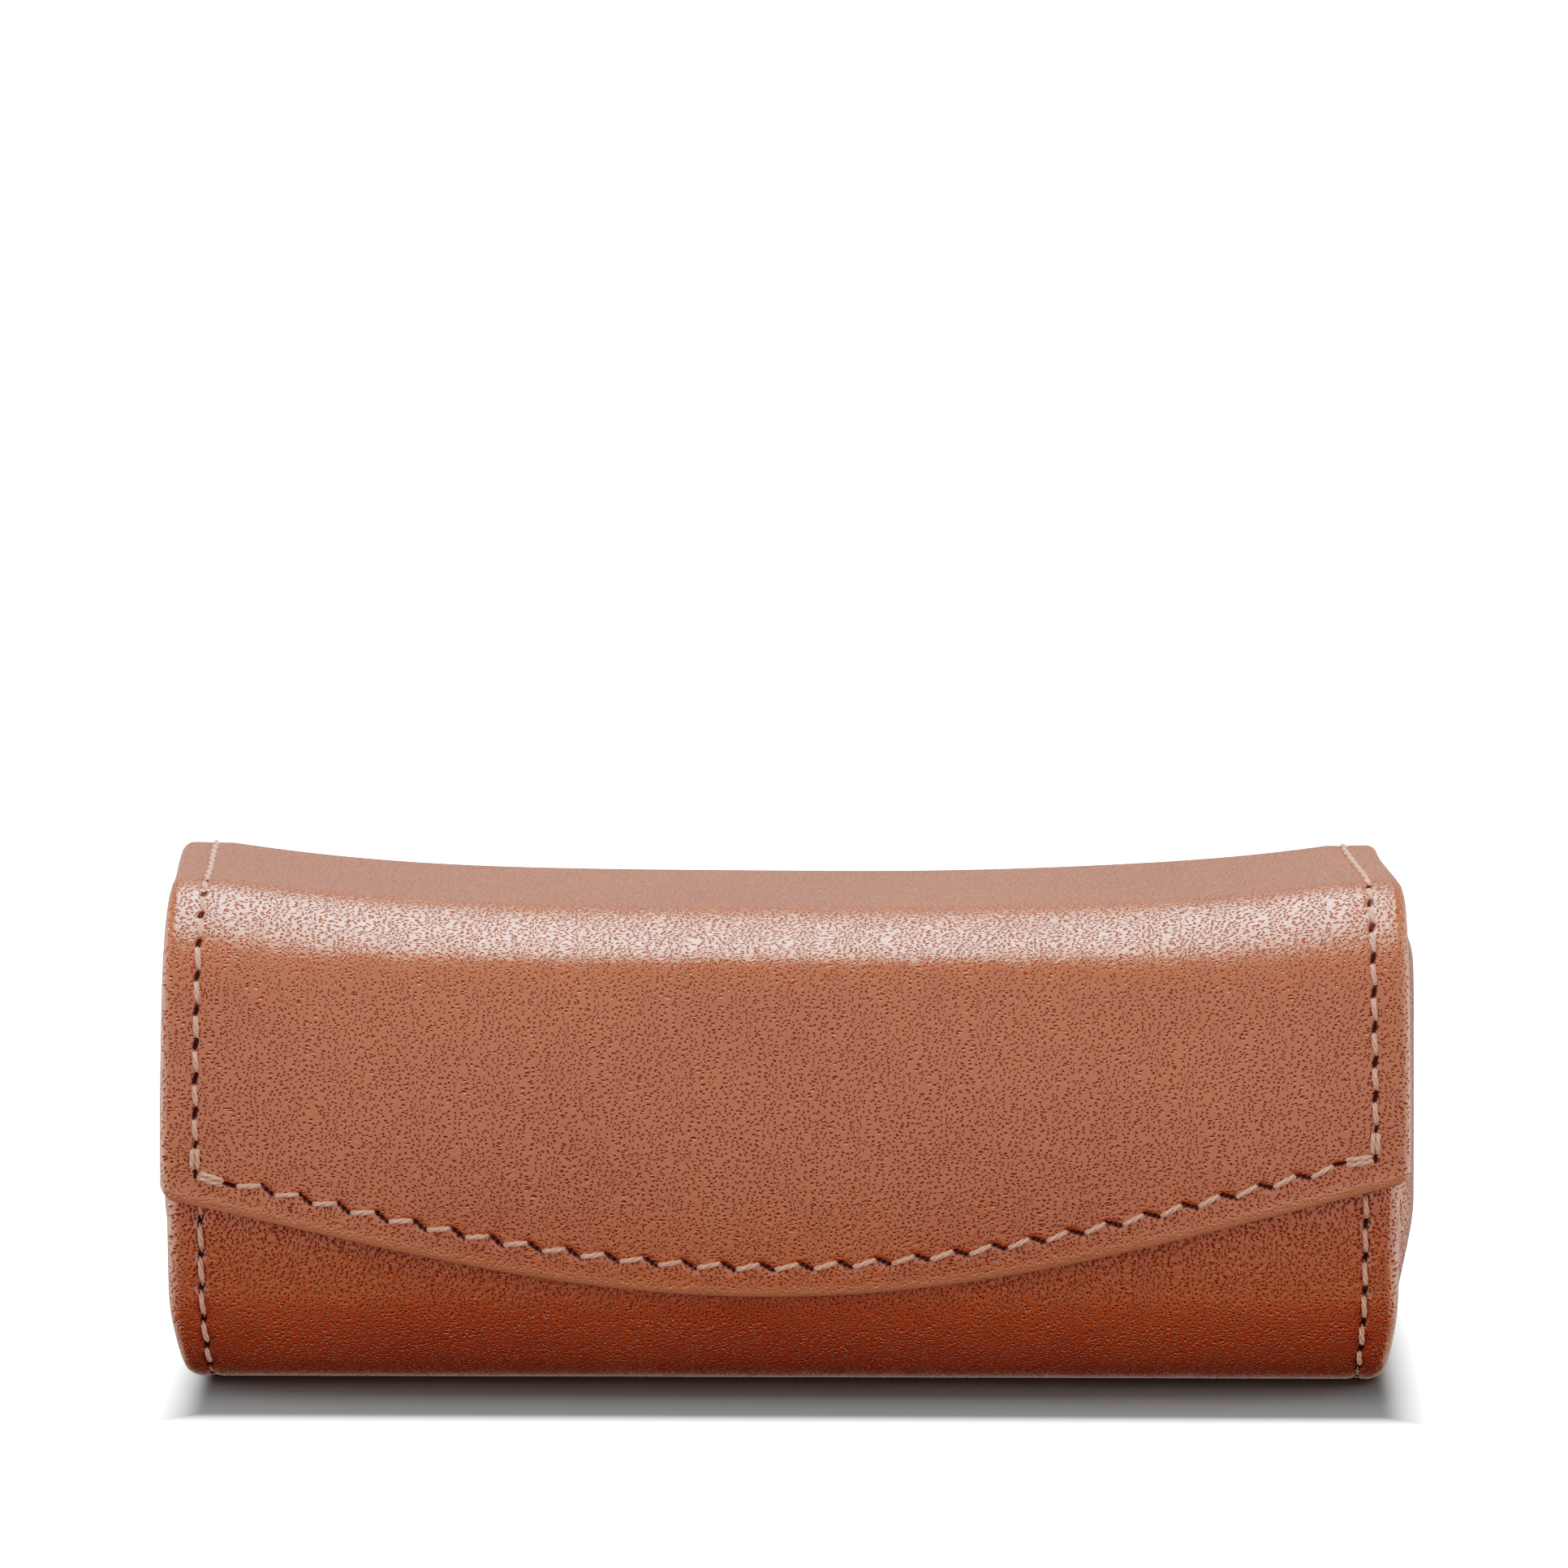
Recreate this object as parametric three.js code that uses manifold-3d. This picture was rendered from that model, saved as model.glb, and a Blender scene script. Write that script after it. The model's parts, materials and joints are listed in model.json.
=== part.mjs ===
// A leather eyeglasses case: a stiffened leather body, closed by a flap that hinges at the top of the back
// and comes over the top and down the front. Millimetres, +Z up, X along the length, the front faces -Y,
// origin at the middle of the underside.

import * as THREE from "three";
import { mergeVertices } from "three/addons/utils/BufferGeometryUtils.js";
import Module from "manifold-3d";

const wasm = await Module();
wasm.setup();

// ---- Driving dimensions -------------------------------------------------------------------------

const LENGTH = 160; // between the crowns of the two padded ends
const DEPTH = 58; // from the front of the closed flap to the back
const HEIGHT = 64; // from the underside to the top of the flap over the ends
const FLAP_HALF = 77.5; // half the length of the flap
const BODY_HALF = 76.5; // half the length of the body's leather
const HINGE_HEIGHT = 54; // the flap bends away from the back here

const TOP_FRONT_RADIUS = 15;
const TOP_BACK_RADIUS = 6.5;
const LOW_BACK_RADIUS = 8;
const FRONT_RADIUS = 96; // the gentle bulge of the front
const FRONT_TOP_TILT = 10; // degrees: how far the front looks up where it meets the top corner
const FRONT_LOW_TILT = -14; // degrees: how far it looks down where it meets the lower corner

const LEATHER = 1.2;
const BODY_BOARD = 1.5;
const FLAP_BOARD = 0.9;
const LINING = 0.7;
const PLY_GAP = 0.1; // between layers glued to each other
const REST_GAP = 0.3; // between the closed flap and what it rests on
const BODY_WALL = LEATHER + BODY_BOARD + LINING + 2 * PLY_GAP;
const FLAP_WALL = LEATHER + FLAP_BOARD + LINING + 2 * PLY_GAP;
const TURNED_EDGE = 2.8; // width of the leather folded round the edges of the boards

const FLAP_EDGE_HEIGHT = 12.7; // lower edge of the flap at mid length
const BOW_RISE = 10.2; // that edge climbs as a cosine: this much at BOW_QUARTER from the middle
const BOW_QUARTER = 61.5;
const SAG_DEPTH = 3.4; // the top drops between its ends
const SAG_HALF = 70; // half the length over which it drops

const SEAM_HALF = 73; // the side seams run at this distance from mid length
const SEAM_MARGIN = 4.7; // the front seam's height above the flap's lower edge
const THREAD = 0.8;
const THREAD_GAP = 0.1; // between the thread and its groove

const END_INNER_HALF = 72; // half the clear length inside
const END_RIM_HALF = 77.5; // the padded ends start to round over here
const END_BOARD = 1.6;
const PAD_GAP = 0.1;
const FLAT_CROWN = 0.4; // part of a padded end's outline left flat on top

const MAGNET_DIAMETER = 12;
const MAGNET_THICKNESS = 1;
const KEEPER_THICKNESS = 0.5;
const MAGNET_TILT = -7; // degrees: place of the magnet on the bulge of the front
const MAGNET_CLEARANCE = 0.3;

const ARC_TOLERANCE = 0.08; // how far the middle of a chord may lie from its arc
const BOW_STEPS = 16; // straight runs along the flap's lower edge
const SAG_STEPS = 18; // straight runs along the sagging part of the top
const PILLOW_STEPS = 4; // rings of a padded end between its rim and its crown
const DISC_SIDES = 24;
const OVERSHOOT = 1; // how far a cutter reaches past what it cuts
const WELD = 1e-4; // corners closer than this are one

// ---- Points of the section, as (Y, Z) -----------------------------------------------------------

const FRONT_Y = -DEPTH / 2;
const BACK_Y = DEPTH / 2;
const COVER = FLAP_WALL + REST_GAP; // depth of the body's front below the outside of the flap

const sine = (degrees) => Math.sin(THREE.MathUtils.degToRad(degrees));
const cosine = (degrees) => Math.cos(THREE.MathUtils.degToRad(degrees));

// The front's circle is tangent to the top corner's, which is tangent to the top.
const FRONT_CENTRE = new THREE.Vector2(
  FRONT_Y + FRONT_RADIUS,
  HEIGHT - FRONT_RADIUS * sine(FRONT_TOP_TILT) - TOP_FRONT_RADIUS * (1 - sine(FRONT_TOP_TILT)),
);
const TOP_FRONT_CENTRE = new THREE.Vector2(
  FRONT_CENTRE.x - (FRONT_RADIUS - TOP_FRONT_RADIUS) * cosine(FRONT_TOP_TILT),
  HEIGHT - TOP_FRONT_RADIUS,
);
const TOP_BACK_CENTRE = new THREE.Vector2(BACK_Y - TOP_BACK_RADIUS, HEIGHT - TOP_BACK_RADIUS);
const LOW_BACK_CENTRE = new THREE.Vector2(BACK_Y - LOW_BACK_RADIUS, LOW_BACK_RADIUS);

// The body's lower front corner runs on from its front, tangent to it and to the underside.
const BODY_FRONT_RADIUS = FRONT_RADIUS - COVER;
const LOW_FRONT_START_Z = FRONT_CENTRE.y + BODY_FRONT_RADIUS * sine(FRONT_LOW_TILT);
const LOW_FRONT_RADIUS = LOW_FRONT_START_Z / (1 + sine(FRONT_LOW_TILT));
const LOW_FRONT_CENTRE = new THREE.Vector2(
  FRONT_CENTRE.x - (BODY_FRONT_RADIUS - LOW_FRONT_RADIUS) * cosine(FRONT_LOW_TILT),
  LOW_FRONT_RADIUS,
);

// Points on a circle between two directions in degrees, counted from +Y towards +Z, drawn in by an inset. All
// insets of one circle have the same steps, so that layers stay parallel.
function arc(centre, radius, from, to, inset) {
  const longestStep = 2 * THREE.MathUtils.radToDeg(Math.acos(1 - ARC_TOLERANCE / radius));
  const steps = Math.ceil(Math.abs(to - from) / longestStep);
  const reach = radius - inset;
  const points = [];
  for (let i = 0; i <= steps; i += 1) {
    const direction = from + ((to - from) * i) / steps;
    points.push(new THREE.Vector2(centre.x + reach * cosine(direction), centre.y + reach * sine(direction)));
  }
  return points;
}

// The flap over the front: round the top corner and down to below its lower edge.
function flapFrontPath(inset) {
  const corner = arc(TOP_FRONT_CENTRE, TOP_FRONT_RADIUS, 90, 180 - FRONT_TOP_TILT, inset);
  const front = arc(FRONT_CENTRE, FRONT_RADIUS, 180 - FRONT_TOP_TILT, 180 - FRONT_LOW_TILT, inset);
  return [...corner, ...front.slice(1)];
}

function flapTopPath(inset) {
  const height = HEIGHT - inset;
  return [
    new THREE.Vector2(TOP_BACK_CENTRE.x, height),
    new THREE.Vector2(TOP_FRONT_CENTRE.x + REST_GAP, height),
  ];
}

// The whole flap, from the hinge round the back corner, over the top and down the front.
function flapPath(inset) {
  const hinge = new THREE.Vector2(BACK_Y - inset, HINGE_HEIGHT);
  return [hinge, ...arc(TOP_BACK_CENTRE, TOP_BACK_RADIUS, 0, 90, inset), ...flapFrontPath(inset)];
}

// The body, from the hinge down the back, along the underside and up the front to its rim. The front can
// stop short of the rim by a length.
function bodyPath(inset, short = 0) {
  const rim = 180 - FRONT_TOP_TILT + THREE.MathUtils.radToDeg(short / BODY_FRONT_RADIUS);
  const corner = 180 - FRONT_LOW_TILT;
  return [
    new THREE.Vector2(BACK_Y - inset, HINGE_HEIGHT - REST_GAP),
    ...arc(LOW_BACK_CENTRE, LOW_BACK_RADIUS, 0, -90, inset),
    ...arc(LOW_FRONT_CENTRE, LOW_FRONT_RADIUS, 270, corner, inset),
    ...arc(FRONT_CENTRE, BODY_FRONT_RADIUS, corner, rim, inset).slice(1),
  ];
}

// Outline of a layer of the wall that follows a path between two insets.
function layer(path, outer, inner) {
  return [...path(outer), ...path(inner).reverse()];
}

// Outline of an end panel: inside the body's wall, with its own rounded top below the flap.
function endOutline(inset) {
  const clear = BODY_WALL + PAD_GAP + inset;
  const top = HEIGHT - COVER;
  const backRadius = TOP_BACK_RADIUS - BODY_WALL - PAD_GAP;
  const frontRadius = TOP_FRONT_RADIUS - COVER - BODY_WALL - PAD_GAP;
  const backCentre = new THREE.Vector2(TOP_BACK_CENTRE.x, top - backRadius);
  const frontCentre = new THREE.Vector2(TOP_FRONT_CENTRE.x, top - frontRadius);
  return [
    ...bodyPath(clear).slice(1),
    ...arc(frontCentre, frontRadius, 180 - FRONT_TOP_TILT, 90, inset),
    ...arc(backCentre, backRadius, 90, 0, inset),
  ];
}

// ---- Solids -------------------------------------------------------------------------------------

// How far a point of the top drops: nothing over the ends and below the hinge.
function sag(x, z) {
  const along = 1 - Math.min(1, Math.abs(x) / SAG_HALF) ** 3;
  return SAG_DEPTH * along * THREE.MathUtils.smoothstep(z, HINGE_HEIGHT, HEIGHT);
}

// Lengthwise stations of the flap between its two ends.
function stations(half) {
  const places = [-half];
  for (let i = 0; i <= SAG_STEPS; i += 1) {
    places.push(SAG_HALF * ((2 * i) / SAG_STEPS - 1));
  }
  return [...places, half];
}

// Extrudes a (Y, Z) outline through stations along X, letting the top sag.
function extrudeAlongX(outline, places) {
  const steps = places.length - 1;
  const geometry = new THREE.ExtrudeGeometry(new THREE.Shape(outline), {
    depth: steps,
    steps,
    bevelEnabled: false,
  });
  const position = geometry.attributes.position;
  for (let i = 0; i < position.count; i += 1) {
    const x = places[Math.round(position.getZ(i))];
    const y = position.getX(i);
    const z = position.getY(i);
    position.setXYZ(i, x, y, z - sag(x, z));
  }
  return geometry;
}

// Extrudes an (X, Z) outline right through the case from front to back.
function extrudeAlongY(outline) {
  const shape = new THREE.Shape(outline);
  const geometry = new THREE.ExtrudeGeometry(shape, { depth: 2 * DEPTH, bevelEnabled: false });
  geometry.rotateX(Math.PI / 2);
  geometry.translate(0, DEPTH, 0);
  return geometry;
}

// A copy with shared corners and nothing but positions.
function welded(geometry) {
  const bare = geometry.clone();
  bare.deleteAttribute("normal");
  bare.deleteAttribute("uv");
  return mergeVertices(bare, WELD);
}

function toManifold(geometry) {
  const merged = welded(geometry);
  return new wasm.Manifold(
    new wasm.Mesh({
      numProp: 3,
      vertProperties: new Float32Array(merged.attributes.position.array),
      triVerts: new Uint32Array(merged.index.array),
    }),
  );
}

function toGeometry(solid) {
  const mesh = solid.getMesh();
  const geometry = new THREE.BufferGeometry();
  geometry.setAttribute("position", new THREE.BufferAttribute(new Float32Array(mesh.vertProperties), 3));
  geometry.setIndex(new THREE.BufferAttribute(new Uint32Array(mesh.triVerts), 1));
  return geometry;
}

const meet = (a, b) => toGeometry(toManifold(a).intersect(toManifold(b)));
const cut = (a, b) => toGeometry(toManifold(a).subtract(toManifold(b)));

// Height of the flap's lower edge at a distance from mid length.
function flapEdge(x) {
  return FLAP_EDGE_HEIGHT + BOW_RISE * (1 - cosine((90 * x) / BOW_QUARTER));
}

// Points along the bowed edge from -half to half, lifted by a height.
function bowPoints(half, lift) {
  const points = [];
  for (let i = 0; i <= BOW_STEPS; i += 1) {
    const x = half * ((2 * i) / BOW_STEPS - 1);
    points.push(new THREE.Vector2(x, flapEdge(x) + lift));
  }
  return points;
}

// The flap's outline seen from the front, drawn in by a margin all round.
function flapPlan(margin) {
  const half = FLAP_HALF - margin;
  const top = HEIGHT + DEPTH;
  return extrudeAlongY([
    ...bowPoints(half, margin),
    new THREE.Vector2(half, top),
    new THREE.Vector2(-half, top),
  ]);
}

// A band along the flap's seam, seen from the front: down one side, along the bow and up the other.
function seamBand(width) {
  const top = HEIGHT + DEPTH;
  const outer = SEAM_HALF + width / 2;
  const inner = SEAM_HALF - width / 2;
  return extrudeAlongY([
    new THREE.Vector2(-outer, top),
    ...bowPoints(outer, SEAM_MARGIN - width / 2),
    new THREE.Vector2(outer, top),
    new THREE.Vector2(inner, top),
    ...bowPoints(inner, SEAM_MARGIN + width / 2).reverse(),
    new THREE.Vector2(-inner, top),
  ]);
}

// ---- The body's wall ----------------------------------------------------------------------------

const GROOVE_WIDTH = THREAD + 2 * THREAD_GAP;
const GROOVE_DEPTH = THREAD / 2 + THREAD_GAP;
const shortBodyPath = (inset) => bodyPath(inset, TURNED_EDGE);
const bodyPlyPath = (inset) => bodyPath(inset, TURNED_EDGE + 2 * PLY_GAP);

function bodySeam(side, width, outer, inner) {
  const middle = side * SEAM_HALF;
  return extrudeAlongX(layer(bodyPath, outer, inner), [middle - width / 2, middle + width / 2]);
}

// The leather is full thickness at its edges, where it is turned round the board. Each seam has a groove.
function bodyLeather() {
  const half = BODY_HALF - TURNED_EDGE;
  let leather = extrudeAlongX(layer(bodyPath, 0, BODY_WALL), [-BODY_HALF, BODY_HALF]);
  leather = cut(leather, extrudeAlongX(layer(shortBodyPath, LEATHER, BODY_WALL + OVERSHOOT), [-half, half]));
  for (const side of [-1, 1]) {
    leather = cut(leather, bodySeam(side, GROOVE_WIDTH, -OVERSHOOT, GROOVE_DEPTH));
  }
  return leather;
}

function bodyPly(outer, inner) {
  const half = BODY_HALF - TURNED_EDGE - PLY_GAP;
  return extrudeAlongX(layer(bodyPlyPath, outer, inner), [-half, half]);
}

function bodyBoard() {
  const outer = LEATHER + PLY_GAP;
  const board = bodyPly(outer, outer + BODY_BOARD);
  const hole = frontDisc(MAGNET_DIAMETER + MAGNET_CLEARANCE, 2 * BODY_BOARD, COVER + outer + BODY_BOARD / 2);
  return cut(board, hole);
}

function bodyLining() {
  return bodyPly(BODY_WALL - LINING, BODY_WALL);
}

function bodyThread(side) {
  return bodySeam(side, THREAD, THREAD_GAP / 2, GROOVE_DEPTH - THREAD_GAP / 2);
}

// ---- The closure, hidden inside the front boards ------------------------------------------------

// A disc square to the front at the magnet's place, its middle at an inset from the outside of the flap.
function frontDisc(diameter, thickness, inset) {
  const disc = new THREE.CylinderGeometry(diameter / 2, diameter / 2, thickness, DISC_SIDES);
  const reach = FRONT_RADIUS - inset;
  disc.rotateX(THREE.MathUtils.degToRad(-MAGNET_TILT));
  disc.translate(0, FRONT_CENTRE.x - reach * cosine(MAGNET_TILT), FRONT_CENTRE.y + reach * sine(MAGNET_TILT));
  return disc;
}

function magnet() {
  return frontDisc(MAGNET_DIAMETER, MAGNET_THICKNESS, COVER + LEATHER + PLY_GAP + BODY_BOARD / 2);
}

function keeper() {
  return frontDisc(MAGNET_DIAMETER, KEEPER_THICKNESS, LEATHER + PLY_GAP + FLAP_BOARD / 2);
}

// ---- The flap -----------------------------------------------------------------------------------

// A ply of the flap between two insets, cut to the flap's outline inside the turned edge.
function flapPly(path, outer, inner) {
  const margin = TURNED_EDGE + PLY_GAP;
  const sheet = extrudeAlongX(layer(path, outer, inner), stations(FLAP_HALF - margin));
  return meet(sheet, flapPlan(margin));
}

function flapLeather() {
  const sheet = extrudeAlongX(layer(flapPath, 0, FLAP_WALL), stations(FLAP_HALF));
  const inside = layer(flapPath, LEATHER, FLAP_WALL + OVERSHOOT);
  const pocket = extrudeAlongX(inside, stations(FLAP_HALF - TURNED_EDGE));
  const turned = cut(meet(sheet, flapPlan(0)), meet(pocket, flapPlan(TURNED_EDGE)));
  return cut(turned, flapSeam(GROOVE_WIDTH, -OVERSHOOT, GROOVE_DEPTH));
}

function flapSeam(width, outer, inner) {
  return meet(extrudeAlongX(layer(flapPath, outer, inner), stations(FLAP_HALF)), seamBand(width));
}

function flapFrontBoard() {
  const outer = LEATHER + PLY_GAP;
  const board = flapPly(flapFrontPath, outer, outer + FLAP_BOARD);
  const hole = frontDisc(MAGNET_DIAMETER + MAGNET_CLEARANCE, 2 * FLAP_BOARD, outer + FLAP_BOARD / 2);
  return cut(board, hole);
}

function flapTopBoard() {
  const outer = LEATHER + PLY_GAP;
  return flapPly(flapTopPath, outer, outer + FLAP_BOARD);
}

function flapLining() {
  return flapPly(flapPath, FLAP_WALL - LINING, FLAP_WALL);
}

function flapThread() {
  return flapSeam(THREAD, THREAD_GAP / 2, GROOVE_DEPTH - THREAD_GAP / 2);
}

// ---- The padded ends, built on the +X side and mirrored for the other ---------------------------

// Extrudes an end outline from one station to another, then rounds it over to a crown.
function pillow(inset, back, rim, crown) {
  const steps = PILLOW_STEPS + 1;
  const centre = new THREE.Vector2(0, (HEIGHT - COVER) / 2);
  const geometry = new THREE.ExtrudeGeometry(new THREE.Shape(endOutline(inset)), {
    depth: steps,
    steps,
    bevelEnabled: false,
  });
  const position = geometry.attributes.position;
  for (let i = 0; i < position.count; i += 1) {
    const step = Math.round(position.getZ(i));
    const turn = (Math.max(0, step - 1) / PILLOW_STEPS) * 90;
    const scale = 1 - (1 - FLAT_CROWN) * (1 - cosine(turn));
    const x = step === 0 ? back : rim + (crown - rim) * sine(turn);
    const y = centre.x + (position.getX(i) - centre.x) * scale;
    const z = centre.y + (position.getY(i) - centre.y) * scale;
    position.setXYZ(i, x, y, z);
  }
  return geometry;
}

function endPlate(inset, inner, thickness) {
  return extrudeAlongX(endOutline(inset), [inner, inner + thickness]);
}

const END_LINING_OUT = END_INNER_HALF + LINING;
const END_BOARD_IN = END_LINING_OUT + PLY_GAP;
const END_BOARD_OUT = END_BOARD_IN + END_BOARD;
const END_PAD_IN = END_BOARD_OUT + PLY_GAP;
const END_CROWN = LENGTH / 2;

// The leather is a tray over the pad and the board.
function endLeather() {
  const outside = pillow(0, END_BOARD_IN, END_RIM_HALF, END_CROWN);
  const inside = pillow(LEATHER, END_INNER_HALF, END_RIM_HALF - LEATHER, END_CROWN - LEATHER);
  return cut(outside, inside);
}

function endPad() {
  const inset = LEATHER + PAD_GAP;
  return pillow(inset, END_PAD_IN, END_RIM_HALF - inset, END_CROWN - inset);
}

function endBoard() {
  return endPlate(LEATHER + PAD_GAP, END_BOARD_IN, END_BOARD);
}

function endLining() {
  return endPlate(0, END_INNER_HALF, LINING);
}

// The same solid on the other side of mid length, its triangles turned to face outwards again.
function mirrored(geometry) {
  const copy = welded(geometry);
  copy.scale(-1, 1, 1);
  const index = copy.index.array;
  for (let i = 0; i < index.length; i += 3) {
    [index[i], index[i + 1]] = [index[i + 1], index[i]];
  }
  return copy;
}

// ---- Materials and assembly ---------------------------------------------------------------------

// Each call of a material gives a new one, so that no two parts share it.
function material(color, roughness, metalness) {
  return () => new THREE.MeshStandardMaterial({ color, roughness, metalness });
}

const tanLeather = material(0xaf6c4b, 0.5, 0);
const greyBoard = material(0x9c9588, 0.9, 0);
const suede = material(0x8a6a50, 0.95, 0);
const foam = material(0xd8d2c0, 0.95, 0);
const thread = material(0xcf9a80, 0.8, 0);
const steel = material(0xb8bcc0, 0.35, 1);
const magnetMetal = material(0x5a5e63, 0.4, 1);

const group = new THREE.Group();
group.name = "eyeglasses_case";

function add(name, geometry, finish) {
  const flat = geometry.index ? geometry.toNonIndexed() : geometry;
  flat.computeVertexNormals();
  const mesh = new THREE.Mesh(flat, finish());
  mesh.name = name;
  group.add(mesh);
}

add("body_leather", bodyLeather(), tanLeather);
add("body_board", bodyBoard(), greyBoard);
add("body_lining", bodyLining(), suede);
add("front_magnet", magnet(), magnetMetal);
add("left_seam_thread", bodyThread(-1), thread);
add("right_seam_thread", bodyThread(1), thread);

const ends = [
  ["end_leather", endLeather(), tanLeather],
  ["end_pad", endPad(), foam],
  ["end_board", endBoard(), greyBoard],
  ["end_lining", endLining(), suede],
];
for (const [name, geometry, finish] of ends) {
  add(`right_${name}`, geometry, finish);
  add(`left_${name}`, mirrored(geometry), finish);
}

add("flap_leather", flapLeather(), tanLeather);
add("flap_front_board", flapFrontBoard(), greyBoard);
add("flap_top_board", flapTopBoard(), greyBoard);
add("flap_lining", flapLining(), suede);
add("flap_keeper", keeper(), steel);
add("flap_seam_thread", flapThread(), thread);

export default group;
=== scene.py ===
"""The looks of the leather eyeglasses case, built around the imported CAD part.

Every leather or lining piece is laid out flat, in (across, along, depth), and then wrapped round a section of
the case: across is X, along is the length followed round the section, and depth is measured inwards from the
outside of the leather. Metres, in the CAD part's frame.
"""

import json
import math
from typing import NamedTuple

import bmesh
import bpy
import numpy as np
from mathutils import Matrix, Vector


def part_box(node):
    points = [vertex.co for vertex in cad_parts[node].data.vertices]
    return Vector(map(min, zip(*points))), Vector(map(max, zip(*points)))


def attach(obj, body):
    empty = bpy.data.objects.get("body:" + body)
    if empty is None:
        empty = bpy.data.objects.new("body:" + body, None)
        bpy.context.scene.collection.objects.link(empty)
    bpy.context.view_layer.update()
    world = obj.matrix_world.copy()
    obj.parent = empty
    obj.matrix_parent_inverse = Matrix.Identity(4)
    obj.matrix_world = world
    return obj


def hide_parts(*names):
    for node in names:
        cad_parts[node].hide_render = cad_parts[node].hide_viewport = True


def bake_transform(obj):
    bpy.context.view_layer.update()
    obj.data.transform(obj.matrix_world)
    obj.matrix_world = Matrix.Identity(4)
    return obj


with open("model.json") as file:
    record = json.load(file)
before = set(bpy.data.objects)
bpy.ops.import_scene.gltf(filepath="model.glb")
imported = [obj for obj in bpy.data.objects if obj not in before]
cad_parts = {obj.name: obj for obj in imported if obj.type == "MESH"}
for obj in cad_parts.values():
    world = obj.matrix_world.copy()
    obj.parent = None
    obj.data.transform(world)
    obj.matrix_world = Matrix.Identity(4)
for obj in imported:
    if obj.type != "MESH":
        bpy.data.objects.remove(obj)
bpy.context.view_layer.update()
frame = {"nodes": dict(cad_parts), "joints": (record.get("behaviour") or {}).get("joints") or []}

MM = 0.001

# ---- Sizes, from the frame ---------------------------------------------------

flap_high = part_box("flap_leather")[1]
body_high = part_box("body_leather")[1]
end_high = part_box("right_end_leather")[1]
end_lining_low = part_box("right_end_lining")[0]
hinge_joint = frame["joints"][0]

TOP_Z = flap_high.z
BACK_Y = flap_high.y
FRONT_Y = -BACK_Y
HINGE_Z = hinge_joint["pos_m"][2]
BODY_HALF = body_high.x + 0.5 * MM
LEFT, RIGHT = -1, 1
SIDES = (LEFT, RIGHT)
SIDE_WORDS = {LEFT: "left", RIGHT: "right"}
CROWN_X = {LEFT: end_high.x - 1.6 * MM, RIGHT: end_high.x - 1.2 * MM}  # how far out the cushions reach
END_INNER_X = end_lining_low.x

TOP_FRONT_RADIUS = 15 * MM
TOP_BACK_RADIUS = 6.5 * MM
LOW_BACK_RADIUS = 8 * MM
FRONT_RADIUS = 96 * MM
FRONT_TOP_TILT = math.radians(10)
FRONT_LOW_TILT = math.radians(-14)
FLAP_THICK = 3 * MM
BODY_THICK = 3.6 * MM
FLAP_GAP = 0.3 * MM
COVER = FLAP_THICK + FLAP_GAP  # the body's front lies this far below the outside of the flap
LINING_THICK = 0.7 * MM

# The flap is a little narrower at the top than at its lower corners.
FLAP_HALF_TOP = 76.7 * MM
FLAP_HALF_LOW = 77.9 * MM
EDGE_Z = 12.7 * MM  # the flap's lower edge at mid length
EDGE_TILT = 0.016  # hand cut: its left end hangs a little lower than its right
EDGE_CORNER_RADIUS = 1.9 * MM
BOW_RISE = 9.9 * MM  # the edge follows a cosine: this much above mid length at BOW_QUARTER from it
BOW_QUARTER = 61.5 * MM
SAG_DEPTH = 3.4 * MM
SAG_HALF = 70 * MM
TOP_SKEW = 1.6 * MM
LOW_END_RADIUS = 3.2 * MM  # the body's lower corners, seen from in front
LOW_END_REACH = 14 * MM  # the height at which the walls are straight again
LOW_END_NARROWING = 0.008
BODY_SHIFT = -0.35 * MM  # the body's front sits a little left of the flap

SEAM_MARGIN = 4.5 * MM
BODY_SEAM_MARGIN = 4.3 * MM
BOW_PITCH = 4.8 * MM
BOW_SLANT = -0.9 * MM  # how far a stitch climbs across its seam
BOW_THREAD_SHARE = 0.69  # how much of the pitch the thread covers
SIDE_PITCH = 4.35 * MM
SIDE_SLANT = -0.3 * MM
SIDE_THREAD_SHARE = 0.72
BACKSTITCH_DOWN = 3.4 * MM
BACKSTITCH_ALONG = 3.9 * MM
BACKSTITCH_GAP = 0.5 * MM
FRONT_SEAM_START = 2 * MM  # below the body's rim
HOLE_DEPTH = 0.2 * MM
BOW_SLIT_WIDTH = 0.29 * MM
BOW_SLIT_ENDS = 0.5 * MM  # how far a slit runs on past the threads' ends
SIDE_SLIT_WIDTH = 0.4 * MM
SIDE_SLIT_ENDS = 0.2 * MM
THREAD_RADIUS = 0.34 * MM
THREAD_DIVE = 0.55 * MM  # how deep a thread goes into the leather at its ends
THREAD_OVER = 0.32 * MM  # how far it runs on below its hole

UNDERSIDE_JOIN_Y = -3 * MM  # the front's leather meets the back's under the case
UNDERSIDE_FLAT = 4 * MM  # the front's leather lies flat for this far before the join
UNEVENNESS = 0.1 * MM  # the slow waves of a hand-made surface
RELIEF_START = 1.5 * MM  # the outline stays smooth for this far inwards
PALE_HIGHLIT_EDGE = 1.5 * MM  # the width of the band along a free edge, of paler leather with a painted highlight on it
# the width of the thin painted highlight line along the sides of a sheet
SIDE_HIGHLIGHT_LINE = 0.35 * MM
TURNED_IN = 6.5 * MM  # how much of the leather's back is modelled; the linings cover its inner edge
FRONT_TURNED_IN = 9 * MM
FINE_MESH = 0.22 * MM  # the mesh step at an outline or a seam

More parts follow.
